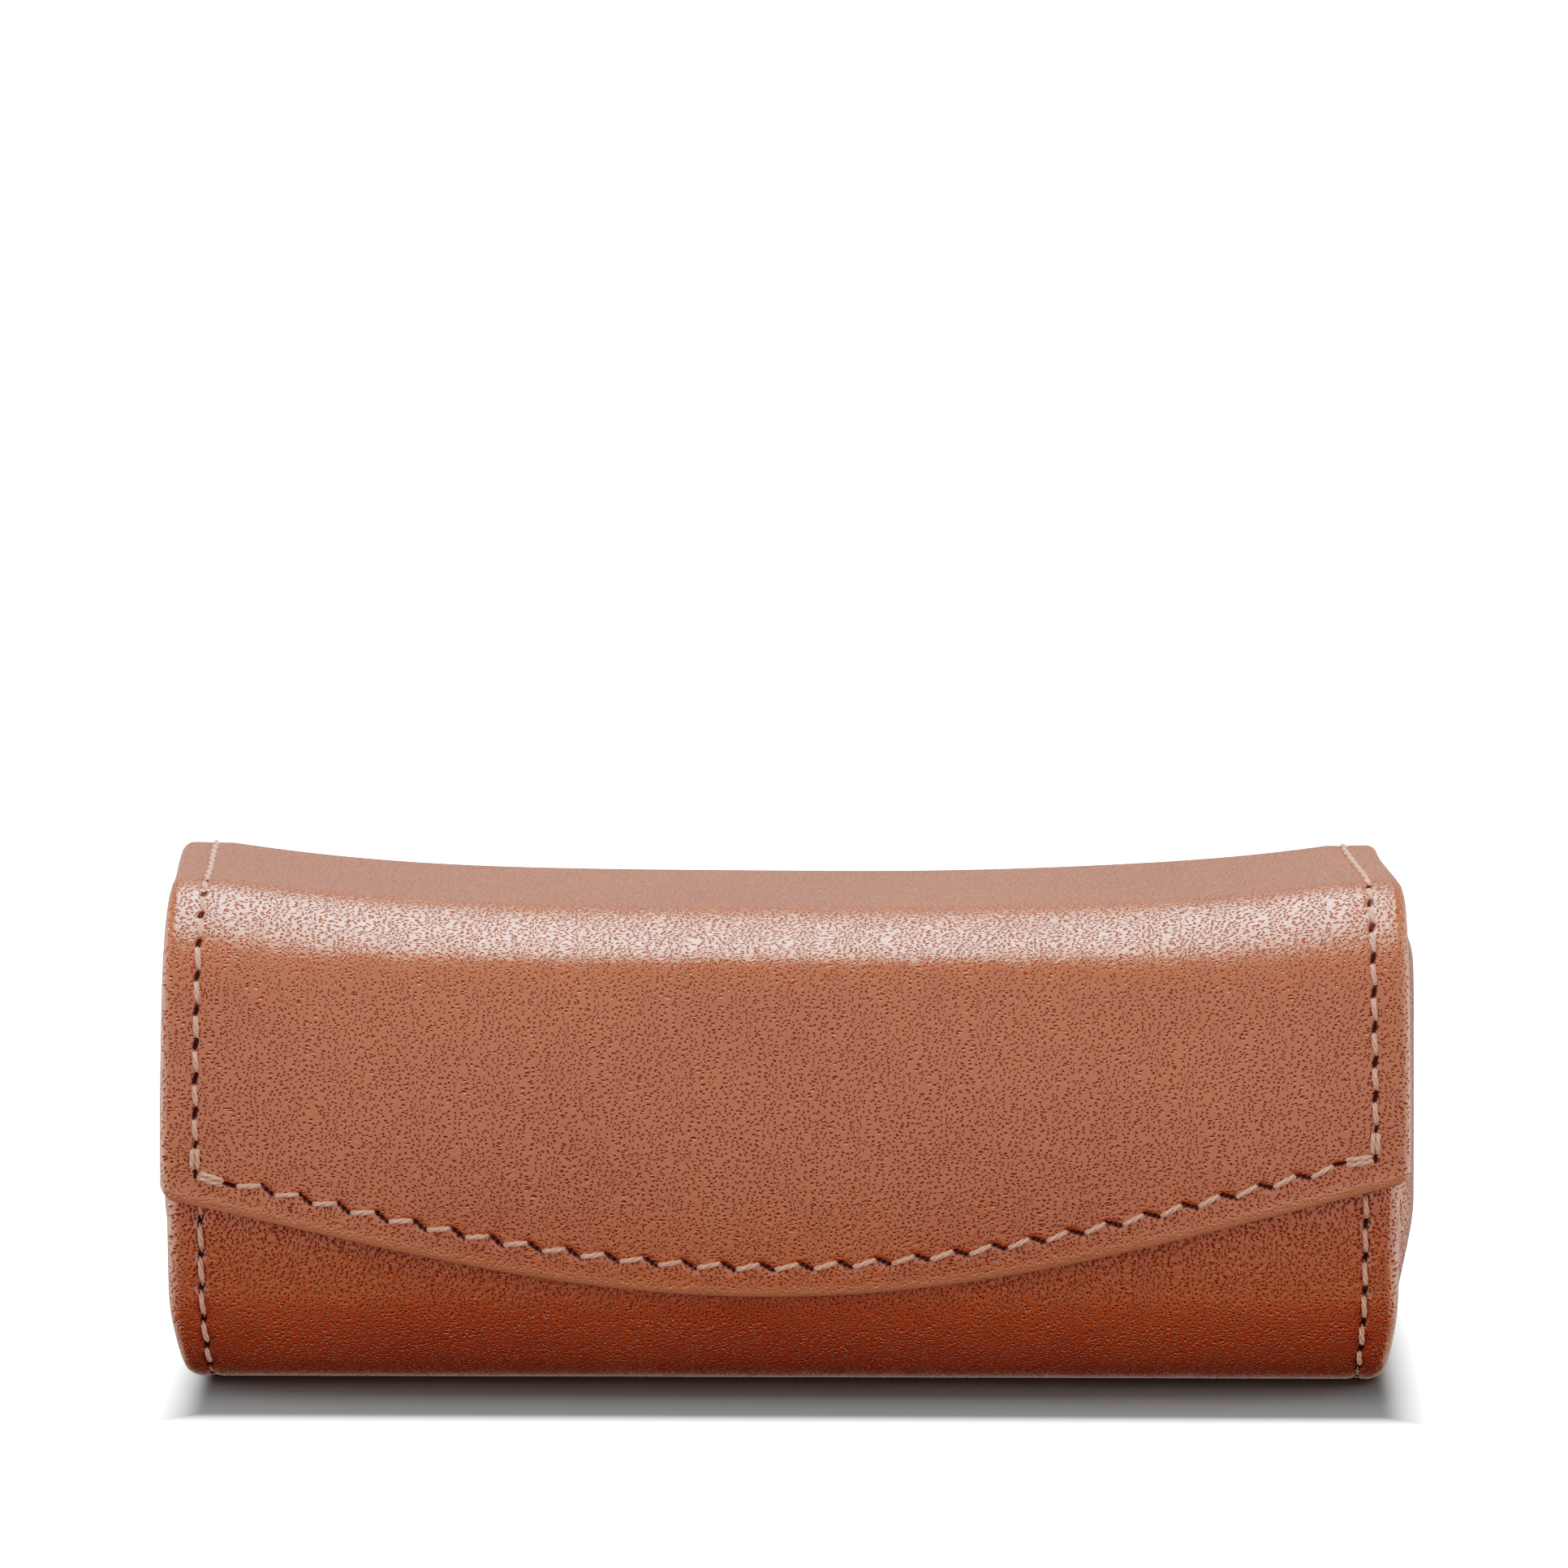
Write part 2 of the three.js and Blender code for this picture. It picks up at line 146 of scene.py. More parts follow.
CUSHION_CLEARANCE = 0.1 * MM  # round the end panels, inside the body's wall
CUSHION_RIM = 3.2 * MM  # how far inside the wall's end a cushion starts
CUSHION_BULGE = 9 * MM  # how far from its rim it reaches its crown
CUSHION_GROOVE = 1.2 * MM  # the width of the line of painted shade round its rim, beside the wall
CUSHION_LOW_TAPER = 3.8 * MM  # how much flatter it is near its lower edge
CUSHION_UNEVENNESS = 0.12 * MM
CUSHION_SPOKES = 220
LINING_EDGE = 0.7 * MM
LINING_SUNK = 0.25 * MM  # how far a lining is pressed into the leather
LINING_SPOKES = 160

# Lengths along the hide, in metres, so that no two pieces share their grain.
FRONT_GRAIN = 0.31
CUSHION_GRAIN = 0.7
THREAD_GRAIN = 0.013  # from each stitch to the next


# ---- Sections ----------------------------------------------------------------


class Section:
    """A curve in the YZ plane, of straight runs and arcs, followed by its length. Outside is on its right."""

    def __init__(self, start, shift=0.0):
        self.shift = shift
        self.runs = []
        self.place = np.array(start, float)
        self.length = 0.0

    def line(self, *to):
        to = np.array(to, float)
        run = np.linalg.norm(to - self.place)
        self.runs.append((self.length, "line", self.place, (to - self.place) / run, None))
        self.length += run
        self.place = to
        return self

    def arc(self, centre, radius, start, end):
        """An anticlockwise arc between two directions in radians, counted from +Y towards +Z."""
        centre = np.array(centre, float)
        self.runs.append((self.length, "arc", centre, radius, start))
        self.length += radius * (end - start)
        self.place = centre + radius * np.array([math.cos(end), math.sin(end)])
        return self

    def at(self, along):
        """Places and outward normals at lengths along the curve. Past its ends it runs straight on."""
        along = np.asarray(along, float)
        place = np.zeros(along.shape + (2,))
        normal = np.zeros(along.shape + (2,))
        ends = [run[0] for run in self.runs[1:]] + [np.inf]
        for i, (first, kind, a, b, start) in enumerate(self.runs):
            low = -np.inf if i == 0 else first
            mask = (along >= low) & (along < ends[i])
            local = (along[mask] - first)[:, None]
            if kind == "line":
                place[mask] = a + local * b
                normal[mask] = [b[1], -b[0]]
            else:
                turn = start + local[:, 0] / b
                out = np.stack([np.cos(turn), np.sin(turn)], -1)
                place[mask] = a + b * out
                normal[mask] = out
        return place, normal


FRONT_CENTRE = (
    FRONT_Y + FRONT_RADIUS,
    TOP_Z - FRONT_RADIUS * math.sin(FRONT_TOP_TILT) - TOP_FRONT_RADIUS * (1 - math.sin(FRONT_TOP_TILT)),
)
TOP_FRONT_CENTRE = (
    FRONT_CENTRE[0] - (FRONT_RADIUS - TOP_FRONT_RADIUS) * math.cos(FRONT_TOP_TILT),
    TOP_Z - TOP_FRONT_RADIUS,
)
TOP_BACK_CENTRE = (BACK_Y - TOP_BACK_RADIUS, TOP_Z - TOP_BACK_RADIUS)
LOW_BACK_CENTRE = (BACK_Y - LOW_BACK_RADIUS, LOW_BACK_RADIUS)
BODY_FRONT_RADIUS = FRONT_RADIUS - COVER
LOW_FRONT_START_Z = FRONT_CENTRE[1] + BODY_FRONT_RADIUS * math.sin(FRONT_LOW_TILT)
LOW_FRONT_RADIUS = LOW_FRONT_START_Z / (1 + math.sin(FRONT_LOW_TILT))
LOW_FRONT_CENTRE = (
    FRONT_CENTRE[0] - (BODY_FRONT_RADIUS - LOW_FRONT_RADIUS) * math.cos(FRONT_LOW_TILT),
    LOW_FRONT_RADIUS,
)
FRONT_TOP_TURN = math.pi - FRONT_TOP_TILT
FRONT_LOW_TURN = math.pi - FRONT_LOW_TILT

# From under the case, up the back, over the top and down the front of the flap.
OUTSIDE = (
    Section((UNDERSIDE_JOIN_Y, 0))
    .line(LOW_BACK_CENTRE[0], 0)
    .arc(LOW_BACK_CENTRE, LOW_BACK_RADIUS, -math.pi / 2, 0)
    .line(BACK_Y, TOP_BACK_CENTRE[1])
    .arc(TOP_BACK_CENTRE, TOP_BACK_RADIUS, 0, math.pi / 2)
    .line(TOP_FRONT_CENTRE[0], TOP_Z)
    .arc(TOP_FRONT_CENTRE, TOP_FRONT_RADIUS, math.pi / 2, FRONT_TOP_TURN)
    .arc(FRONT_CENTRE, FRONT_RADIUS, FRONT_TOP_TURN, math.pi)
    .arc(FRONT_CENTRE, FRONT_RADIUS, math.pi, FRONT_LOW_TURN)
)
BACK_WALL_START = OUTSIDE.runs[2][0]
TOP_START = OUTSIDE.runs[4][0]
FRONT_BULGE_START = OUTSIDE.runs[6][0]
HINGE_ALONG = BACK_WALL_START + HINGE_Z - LOW_BACK_RADIUS

# The body's front, from its rim below the flap down and round to under the case.
BODY_FRONT = (
    Section((0, 0), BODY_SHIFT)
    .arc(FRONT_CENTRE, BODY_FRONT_RADIUS, FRONT_TOP_TURN, FRONT_LOW_TURN)
    .arc(LOW_FRONT_CENTRE, LOW_FRONT_RADIUS, FRONT_LOW_TURN, 1.5 * math.pi)
    .line(UNDERSIDE_JOIN_Y, 0)
)


def smoothstep(value, low, high):
    t = np.clip((value - low) / (high - low), 0, 1)
    return t * t * (3 - 2 * t)


def sag(x, z):
    """How far the top drops between its ends."""
    along = 1 - np.minimum(1, np.abs(x) / SAG_HALF) ** 3
    return SAG_DEPTH * along * smoothstep(z, HINGE_Z, TOP_Z)


def skew(y, z):
    """How far the hand-sewn top sits askew: its back edge is a little to the left."""
    return -TOP_SKEW * smoothstep(y, -18 * MM, 24 * MM) * smoothstep(z, 15 * MM, 60 * MM)


def draw_in(z):
    """Share by which the wall narrows towards the underside."""
    return 1 - LOW_END_NARROWING * (1 - smoothstep(z, 0, LOW_END_REACH))


def corner_lift(x, z):
    """How far the underside rises at the two ends, where its lower corners are rounded."""
    into_corner = np.clip((np.abs(x) - (BODY_HALF - LOW_END_RADIUS)) / LOW_END_RADIUS, 0, 0.97)
    return LOW_END_RADIUS * (1 - np.sqrt(1 - into_corner**2)) * (1 - smoothstep(z, 0, LOW_END_REACH))


def wrap(section, across, along, depth):
    """Points in space of a flat layout wrapped round a section."""
    place, normal = section.at(along)
    y = place[..., 0] - depth * normal[..., 0]
    z = place[..., 1] - depth * normal[..., 1]
    x = across * draw_in(z) + section.shift + skew(y, z)
    return np.stack([x, y, z - sag(across, z) + corner_lift(across, z)], -1)


def flap_edge_along(across):
    """Length along the outside section at which the flap's bowed lower edge lies."""
    height = EDGE_Z + BOW_RISE * (1 - np.cos(math.pi / 2 * across / BOW_QUARTER)) + EDGE_TILT * across
    tilt = np.arcsin((height - FRONT_CENTRE[1]) / FRONT_RADIUS)
    return FRONT_BULGE_START + FRONT_RADIUS * (FRONT_TOP_TILT - tilt)


def outside_half(along):
    """Half the width of the leather along the outside section: the body's, and the flap's past the hinge."""
    on_flap = smoothstep(along, HINGE_ALONG - 4 * MM, HINGE_ALONG + 8 * MM)
    flare = smoothstep(along, TOP_START, flap_edge_along(FLAP_HALF_LOW))
    flap = FLAP_HALF_TOP + (FLAP_HALF_LOW - FLAP_HALF_TOP) * flare
    return BODY_HALF + (flap - BODY_HALF) * on_flap


# ---- Stitching: slits and threads in the flat layout -------------------------


def line_of_stitches(points, pitch, slant, thread_share, start=0.0, end=0.0):
    """Stitches along a flat polyline. Each is (from, to): a thread that climbs across the line by slant.

    Between one thread's end and the next one's start is an open slit, where the thread goes down and comes
    up. Lengths start and end are left free at the two ends of the line."""
    points = np.asarray(points, float)
    steps = np.linalg.norm(np.diff(points, axis=0), axis=1)
    lengths = np.concatenate([[0], np.cumsum(steps)])
    run = lengths[-1] - start - end
    count = max(1, round(run / pitch))
    pitch = run / count

    def spot(length):
        return np.array([np.interp(length, lengths, points[:, k]) for k in (0, 1)])

    stitches = []
    for i in range(count):
        ends = []
        for share, side in ((0, -0.5), (thread_share, 0.5)):
            here = start + (i + share + (1 - thread_share) / 2) * pitch
            forward = spot(here + 0.5 * MM) - spot(here - 0.5 * MM)
            forward = forward / np.linalg.norm(forward)
            sideways = np.array([-forward[1], forward[0]])
            ends.append(spot(here) + sideways * slant * side)
        stitches.append(tuple(ends))
    return stitches


def slits_between(stitches):
    """The slit from each stitch's end to the next one's start."""
    return [(a[1], b[0]) for a, b in zip(stitches[:-1], stitches[1:])]


SEAM_CORNER_X = FLAP_HALF_LOW - SEAM_MARGIN


def seam_corner_along(side):
    """Length along the outside section at which the bowed seam and a side's seam meet."""
    return float(flap_edge_along(side * SEAM_CORNER_X)) - SEAM_MARGIN


def sew_bow():
    """The seam along the flap's bowed edge, between the two corner backstitches."""
    across = np.linspace(-SEAM_CORNER_X, SEAM_CORNER_X, 200)
    points = np.stack([across, flap_edge_along(across) - SEAM_MARGIN], -1)
    free = BACKSTITCH_ALONG + BACKSTITCH_GAP
    return line_of_stitches(points, BOW_PITCH, BOW_SLANT, BOW_THREAD_SHARE, start=free, end=free)


def sew_outside_side(side):
    """The seam up the back, over the top and down the flap's side, to above the corner backstitch."""
    along = np.linspace(0, seam_corner_along(side), 60)
    points = np.stack([side * (outside_half(along) - SEAM_MARGIN), along], -1)
    return line_of_stitches(points, SIDE_PITCH, SIDE_SLANT, SIDE_THREAD_SHARE, end=BACKSTITCH_DOWN)


def sew_front_side(side):
    """The seam down a side of the body's front and round under the case."""
    across = side * (BODY_HALF - BODY_SEAM_MARGIN)
    points = [(across, FRONT_SEAM_START), (across, BODY_FRONT.length)]
    return line_of_stitches(points, SIDE_PITCH, SIDE_SLANT, SIDE_THREAD_SHARE)


bow_stitches = sew_bow()
outside_sides = {side: sew_outside_side(side) for side in SIDES}
front_sides = {side: sew_front_side(side) for side in SIDES}


def corner_backstitches():
    """At each lower corner of the flap the last stitch of each seam is sewn twice, a little unevenly."""
    doubled, slits = [], []
    for side in SIDES:
        corner = np.array([side * SEAM_CORNER_X, seam_corner_along(side)])
        above = corner - [0, BACKSTITCH_DOWN]
        first_bow = bow_stitches[0][0] if side == LEFT else bow_stitches[-1][1]
        bow_end = corner + (first_bow - corner) * (BACKSTITCH_ALONG / np.linalg.norm(first_bow - corner))
        inwards = (bow_end - corner) / np.linalg.norm(bow_end - corner)
        for a, b in ((above, corner - [0, 0.3 * MM]), (corner + inwards * 0.1 * MM, bow_end)):
            forward = (b - a) / np.linalg.norm(b - a)
            sideways = np.array([-forward[1], forward[0]]) * THREAD_RADIUS * 0.9
            doubled.append((a + sideways, b + sideways * 1.1))
            doubled.append((a - sideways, b - sideways * 0.8))
        slits.append((outside_sides[side][-1][1], above))
        slits.append((bow_end, first_bow))
        slits.append((corner - [0, 0.2 * MM], corner + [0, 0.2 * MM]))
    return doubled, slits


corner_stitches, corner_slits = corner_backstitches()
bow_slits = slits_between(bow_stitches) + corner_slits
outside_side_slits = [slit for side in SIDES for slit in slits_between(outside_sides[side])]
front_side_slits = [slit for side in SIDES for slit in slits_between(front_sides[side])]


def slit_closeness(across, along, slits, length_room, width):
    """1 in the middle of a slit, falling to 0 outside it, at each flat point."""
    close = np.zeros(across.shape)
    for a, b in slits:
        middle = (a + b) / 2
        reach = np.linalg.norm(b - a) / 2 + length_room
        near = (np.abs(across - middle[0]) < 3 * reach) & (np.abs(along - middle[1]) < 3 * reach)
        if not near.any():
            continue
        direction = (b - a) / np.linalg.norm(b - a)
        u = across[near] - middle[0]
        v = along[near] - middle[1]
        lengthwise = (u * direction[0] + v * direction[1]) / reach
        crosswise = (-u * direction[1] + v * direction[0]) / width
        close[near] = np.maximum(close[near], np.exp(-(lengthwise**6) - crosswise**2))
    return close


# ---- Meshes ------------------------------------------------------------------


def new_object(name, vertices, faces, material):
    mesh = bpy.data.meshes.new(name)
    mesh.from_pydata([tuple(v) for v in vertices], [], [tuple(int(i) for i in f) for f in faces])
    mesh.materials.append(material)
    mesh.polygons.foreach_set("use_smooth", [True] * len(mesh.polygons))
    mesh.update()
    obj = bpy.data.objects.new(name, mesh)
    bpy.context.scene.collection.objects.link(obj)
    return obj


def set_vector(obj, name, values):
    attribute = obj.data.attributes.new(name, "FLOAT_VECTOR", "POINT")
    attribute.data.foreach_set("vector", np.asarray(values, np.float32).ravel())


def set_float(obj, name, values):
    attribute = obj.data.attributes.new(name, "FLOAT", "POINT")
    attribute.data.foreach_set("value", np.asarray(values, np.float32).ravel())


def grid_faces(rows, columns, flip=False):
    """Quads between neighbouring points of a grid."""
    index = np.arange(rows * columns).reshape(rows, columns)
    quads = np.stack([index[:-1, :-1], index[:-1, 1:], index[1:, 1:], index[1:, :-1]], -1).reshape(-1, 4)
    return quads[:, ::-1] if flip else quads


def ring_faces(rings, count, first=0, flip=False):
    """Quads between successive rings of count points, numbered from first, and a cap on the last ring."""
    faces = []
    for ring in range(rings - 1):
        base = first + ring * count
        for i in range(count):
            j = (i + 1) % count
            faces.append([base + i, base + j, base + count + j, base + count + i])
    last = first + (rings - 1) * count
    faces.append([last + i for i in range(count)])
    return [face[::-1] for face in faces] if flip else faces


def stations(low, high, coarse, fine_spots, fine, reach):
    """Increasing stations from low to high, closer together near the fine spots."""
    places = [low]
    while places[-1] < high - 1e-9:
        here = places[-1]
        distance = min(abs(here - spot) for spot in fine_spots)
        step = fine + (coarse - fine) * float(smoothstep(distance, reach, reach * 3))
        places.append(min(high, here + step))
    return np.array(places)


def edge_round(distance, thick):
    """Depth of the rounded edge of a turned sheet at a distance from its outline."""
    radius = thick / 2
    inside = np.clip(radius - distance, 0, radius)
    return radius - np.sqrt(radius**2 - inside**2)


def ripple(across, along, seed, size):
    """Slow hand-made unevenness, between -1 and 1."""
    rng = np.random.default_rng(seed)
    total = np.zeros(across.shape)
    for _ in range(5):
        angle, phase = rng.uniform(0, math.tau, 2)
        wave = size * rng.uniform(0.6, 1.8)
        total += np.sin((across * math.cos(angle) + along * math.sin(angle)) * math.tau / wave + phase)
    return total / 5


def seam_relief(distance_inside, margin, valley, puff):
    """Depth along a seam: a valley on the stitch line, and the margin outside it puffed up."""
    from_seam = distance_inside - margin
    from_margin_middle = distance_inside - margin / 2
    dip = valley * np.exp(-((from_seam / (0.7 * MM)) ** 2))
    return dip - puff * np.exp(-((from_margin_middle / (0.38 * margin)) ** 2))


def pale_and_highlit_rim(from_edge, from_side):
    """Strength of the pale rim: along a free edge a broad band of paler leather with a painted highlight, and
    along the sides a thin painted highlight line.
    """
    along_edge = np.exp(-((from_edge / PALE_HIGHLIT_EDGE) ** 2))
    along_side = 0.7 * np.exp(-((from_side / SIDE_HIGHLIGHT_LINE) ** 2))
    return np.maximum(along_edge, along_side)


def smooth_min(a, b, size):
    """The smaller of two distances, blended where they are within a size of each other."""
    h = np.clip(0.5 + 0.5 * (b - a) / size, 0, 1)
    return b + (a - b) * h - size * h * (1 - h)


def merge_and_clean(obj):
    """Joins the outer and inner sheets along the outline and drops the points no face uses."""
    work = bmesh.new()
    work.from_mesh(obj.data)
    bmesh.ops.remove_doubles(work, verts=work.verts, dist=0.02 * MM)
    loose = [v for v in work.verts if not v.link_faces]
    bmesh.ops.delete(work, geom=loose, context="VERTS")
    bmesh.ops.recalc_face_normals(work, faces=work.faces)
    work.to_mesh(obj.data)
    work.free()


class Sheet(NamedTuple):
    """A flat grid of leather, with distances from its outline, the nearer side and its free edge."""

    across: np.ndarray
    along: np.ndarray
    depth: np.ndarray
    thick: np.ndarray
    distance: np.ndarray
    side_distance: np.ndarray
    edge_distance: np.ndarray
    holes: np.ndarray

    def grain_places(self, edge_way, grain_start):
        """Flat places for the grain, which runs on without a break where the leather turns in."""
        by_side = self.side_distance < self.edge_distance
        beyond_side = np.sign(self.across) * (np.abs(self.across) + 2 * self.side_distance)
        beyond_edge = self.along + edge_way * 2 * self.edge_distance
        turned_across = np.where(by_side, beyond_side, self.across)
        turned_along = np.where(by_side, self.along, beyond_edge)
        outer = np.stack([self.across, self.along + grain_start, self.depth], -1)
        inner = np.stack([turned_across, turned_along + grain_start, self.depth], -1)
        return np.concatenate([outer.reshape(-1, 3), inner.reshape(-1, 3)])

    def build(self, name, section, turned_in, material, edge_way, grain_start=0.0):
        """The sheet wrapped round a section, its sides and free edge turned in against its back.

        The free edge is the grid's last row where edge_way is 1, and its first row where it is -1."""
        outer = wrap(section, self.across, self.along, self.depth)
        inner = wrap(section, self.across, self.along, self.thick - edge_round(self.distance, self.thick))
        rows, columns = self.across.shape
        count = rows * columns
        back = grid_faces(rows, columns)
        from_outline = np.minimum(self.side_distance, self.edge_distance).ravel()
        back = back[(from_outline[back] < turned_in).all(axis=1)] + count
        index = np.arange(count).reshape(rows, columns)[::edge_way]
        outline = np.concatenate([index[:, 0], index[-1, 1:], index[::-1, -1][1:]])
        rim = [(a, b, b + count, a + count) for a, b in zip(outline[:-1], outline[1:])]
        faces = [*grid_faces(rows, columns, flip=True), *back, *rim]
        obj = new_object(name, np.concatenate([outer.reshape(-1, 3), inner.reshape(-1, 3)]), faces, material)
        set_vector(obj, "flat", self.grain_places(edge_way, grain_start))
        set_float(obj, "hole", np.concatenate([self.holes.ravel(), np.zeros(count)]))
        set_float(obj, "edge", np.tile(pale_and_highlit_rim(self.edge_distance, self.side_distance).ravel(), 2))
        merge_and_clean(obj)
        return obj


def outside_layout():
    """Flat grid of the back and flap leather. Over the flap's front its rows bend into the bowed edge."""
    seams = (0, SEAM_MARGIN)
    step = 0.62 * MM
    offsets = stations(0, FLAP_HALF_LOW, coarse=0.6 * MM, fine_spots=seams, fine=FINE_MESH, reach=1.2 * MM)
    shares = np.concatenate([-1 + offsets / FLAP_HALF_LOW, (1 - offsets / FLAP_HALF_LOW)[::-1][1:]])
    bow_top = FRONT_BULGE_START + 6 * MM
    back = stations(0, TOP_START, coarse=0.95 * MM, fine_spots=(HINGE_ALONG,), fine=0.5 * MM, reach=5 * MM)
    upper = np.concatenate([back[:-1], np.arange(TOP_START, bow_top, step), [bow_top]])
    run = float(flap_edge_along(0.0)) - bow_top
    low = stations(0, run, coarse=step, fine_spots=seams, fine=FINE_MESH, reach=1.4 * MM)
    rows = [(shares * outside_half(along), np.full(shares.shape, along)) for along in upper]
    for share in (1 - low / run)[::-1][1:]:
        across = shares * outside_half(bow_top + share * (flap_edge_along(FLAP_HALF_LOW) - bow_top))
        rows.append((across, bow_top + share * (flap_edge_along(across) - bow_top)))
    return np.array([row[0] for row in rows]), np.array([row[1] for row in rows])


def round_flap_corners(across, along, side_distance, edge_distance):
    """The grid's places with its square corners drawn in to a rounded outline, and their distance from it."""
    corner = EDGE_CORNER_RADIUS
    near_corner = (side_distance < corner) & (edge_distance < corner)
    reach = np.hypot(corner - side_distance, corner - edge_distance)
    distance = np.where(near_corner, corner - reach, np.minimum(side_distance, edge_distance))
    pull = np.where(near_corner, np.maximum(-distance, 0), 0) / (reach + 1e-9)
    across = across - np.sign(across) * pull * (corner - side_distance)
    along = along - pull * (corner - edge_distance)
    return across, along, np.maximum(distance, 0)


def build_outside(material):
    """One sheet: underside, back, hinge, top and flap, its free edges turned in over the boards."""
    across, along = outside_layout()
    side_distance = outside_half(along) - np.abs(across)
    edge_distance = flap_edge_along(across) - along
    across, along, distance = round_flap_corners(across, along, side_distance, edge_distance)

    on_flap = smoothstep(along, HINGE_ALONG - 3 * MM, HINGE_ALONG + 3 * MM)
    thick = BODY_THICK + (FLAP_THICK - BODY_THICK) * on_flap
    holes = np.maximum(
        slit_closeness(across, along, bow_slits, BOW_SLIT_ENDS, BOW_SLIT_WIDTH),
        slit_closeness(across, along, outside_side_slits, SIDE_SLIT_ENDS, SIDE_SLIT_WIDTH),
    )
    seam_distance = smooth_min(side_distance, edge_distance, 1.2 * MM)
    relief = seam_relief(seam_distance, SEAM_MARGIN, valley=0.0, puff=0.06 * MM)
    relief = relief + UNEVENNESS * ripple(across, along, seed=3, size=34 * MM)
    relief = relief * smoothstep(distance, 0, RELIEF_START)
    depth = edge_round(distance, thick) + relief + HOLE_DEPTH * holes
    depth = np.where(along < BACK_WALL_START, np.maximum(depth, 0), depth)
    sheet = Sheet(across, along, depth, thick, distance, side_distance, np.maximum(edge_distance, 0), holes)
    return sheet.build("outside_leather", OUTSIDE, TURNED_IN, material, edge_way=1)


def build_front(material):
    """The body's front, from its rim down to under the case."""
    seams = (0, BODY_SEAM_MARGIN)
    offsets = stations(0, BODY_HALF, coarse=0.9 * MM, fine_spots=seams, fine=FINE_MESH, reach=1.4 * MM)
    columns = np.concatenate([-BODY_HALF + offsets, (BODY_HALF - offsets)[::-1][1:]])
    rows = stations(0, BODY_FRONT.length, coarse=0.6 * MM, fine_spots=(0,), fine=0.25 * MM, reach=2 * MM)
    across, along = np.meshgrid(columns, rows)
    side_distance = BODY_HALF - np.abs(across)
    distance = np.minimum(side_distance, along)
    holes = slit_closeness(across, along, front_side_slits, SIDE_SLIT_ENDS, SIDE_SLIT_WIDTH)
    flat_start = BODY_FRONT.length - UNDERSIDE_FLAT
    under = smoothstep(along, flat_start - 10 * MM, flat_start)
    relief = seam_relief(side_distance, BODY_SEAM_MARGIN, valley=0.25 * MM, puff=0.3 * MM)
    relief = relief + UNEVENNESS * ripple(across, along, seed=8, size=30 * MM) * (1 - under)
    relief = relief * smoothstep(distance, 0, RELIEF_START)
    depth = edge_round(distance, BODY_THICK) + relief + HOLE_DEPTH * holes
    depth = np.where(under > 0, np.maximum(depth, 0), depth)
    sheet = Sheet(across, along, depth, BODY_THICK, distance, side_distance, along, holes)
    return sheet.build(
        "front_leather", BODY_FRONT, FRONT_TURNED_IN, material, edge_way=-1, grain_start=FRONT_GRAIN
    )


# ---- Threads -----------------------------------------------------------------

THREAD_RINGS = 24
THREAD_SIDES = 15
THREAD_PLIES = 3
TWIST_PER_METRE = math.tau / (4.2 * MM)


def thread_tube(section, a, b, radius, lift, flat_offset):
    """Vertices, flat coordinates and grooves of one twisted stitch from a to b, its ends pulled down."""
    reach = b - a
    length = np.linalg.norm(reach)
    forward = reach / length
    sideways = np.array([-forward[1], forward[0]])
    over = THREAD_OVER / length
    shares = np.linspace(-over, 1 + over, THREAD_RINGS)
    turn = np.linspace(0, math.tau, THREAD_SIDES, endpoint=False)
    share, angle = np.meshgrid(shares, turn, indexing="ij")
    bulge = np.sqrt(np.clip(1 - (2 * share - 1) ** 4, 0, 1))
    thickness = radius * (0.62 + 0.38 * bulge)
    # The grooves between its plies wind round it.
    ply = np.abs(np.cos(THREAD_PLIES / 2 * (angle - share * length * TWIST_PER_METRE)))
    thickness = thickness * (0.74 + 0.32 * ply**0.7)
    if wrap(section, *((a + b) / 2), 0.0)[2] < 2 * MM:
        lift = -radius - 0.1 * MM  # under the case the thread is pressed into its groove
    middle_depth = THREAD_DIVE - (THREAD_DIVE + lift) * np.clip(1 - np.abs(2 * share - 1) ** 3.2, 0, 1)
    side = np.cos(angle) * thickness
    depth = middle_depth - np.sin(angle) * thickness
    across = a[0] + share * reach[0] + sideways[0] * side
    along = a[1] + share * reach[1] + sideways[1] * side
    vertices = wrap(section, across, along, depth)
    flat = np.stack([share * length + flat_offset, angle * radius, np.full(share.shape, flat_offset)], -1)
    return vertices, flat, 1 - ply


def build_threads(name, section, stitches, material, radius=THREAD_RADIUS, lift=0.05 * MM):
    """All the threads of some seams as one piece. Each is a little thicker or thinner, higher or lower."""
    rng = np.random.default_rng(len(stitches))
    all_vertices, all_flat, all_grooves, faces = [], [], [], []
    for number, (a, b) in enumerate(stitches):
        this_radius = radius * rng.uniform(0.94, 1.06)
        this_lift = lift * rng.uniform(0.7, 1.3)
        vertices, flat, grooves = thread_tube(section, a, b, this_radius, this_lift, number * THREAD_GRAIN)
        base = number * THREAD_RINGS * THREAD_SIDES
        faces += ring_faces(THREAD_RINGS, THREAD_SIDES, base)
        faces.append([base + side for side in reversed(range(THREAD_SIDES))])
        all_vertices.append(vertices.reshape(-1, 3))
        all_flat.append(flat.reshape(-1, 3))
        all_grooves.append(grooves.ravel())
    obj = new_object(name, np.concatenate(all_vertices), faces, material)
    set_float(obj, "groove", np.concatenate(all_grooves))
    set_vector(obj, "flat", np.concatenate(all_flat))
    return obj


# ---- Padded ends -------------------------------------------------------------


